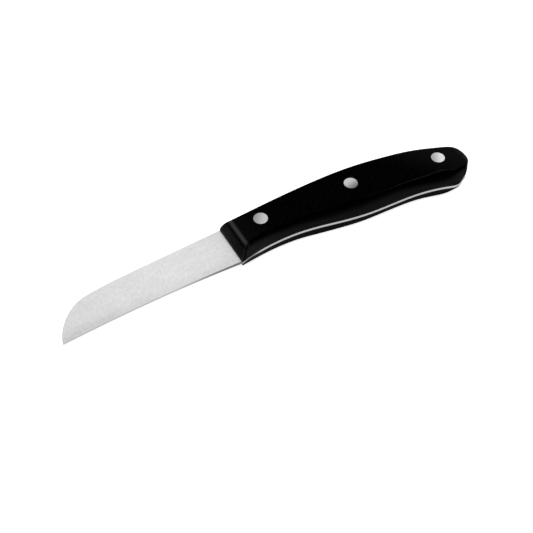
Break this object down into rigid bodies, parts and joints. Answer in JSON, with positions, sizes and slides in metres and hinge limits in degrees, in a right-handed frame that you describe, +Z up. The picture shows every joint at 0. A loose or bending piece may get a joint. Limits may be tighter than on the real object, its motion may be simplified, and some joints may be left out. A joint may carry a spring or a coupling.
{
  "type": "paring knife",
  "caption": "Paring knife with a straight, round-nosed blade, a full tang and riveted plastic handle scales.",
  "frame": {"origin": "middle of the knife's length and height, on the plane that the right handle scale rests on", "axes": "+X from the blade's tip to the butt, +Y from the cutting edge to the spine, +Z up through the thickness"},
  "size_m": [0.1858, 0.0294, 0.011],
  "materials": {
    "blade_steel": "satin, with a fine grain across the blade",
    "handle_plastic": "satin black",
    "rivet_steel": "satin, ground flush with the scales"
  },
  "bodies": {
    "root": {"blade": "blade_steel", "left_scale": "handle_plastic", "right_scale": "handle_plastic", "front_rivet_female": "rivet_steel", "front_rivet_male": "rivet_steel", "middle_rivet_female": "rivet_steel", "middle_rivet_male": "rivet_steel", "rear_rivet_female": "rivet_steel", "rear_rivet_male": "rivet_steel"}
  },
  "joints": []
}
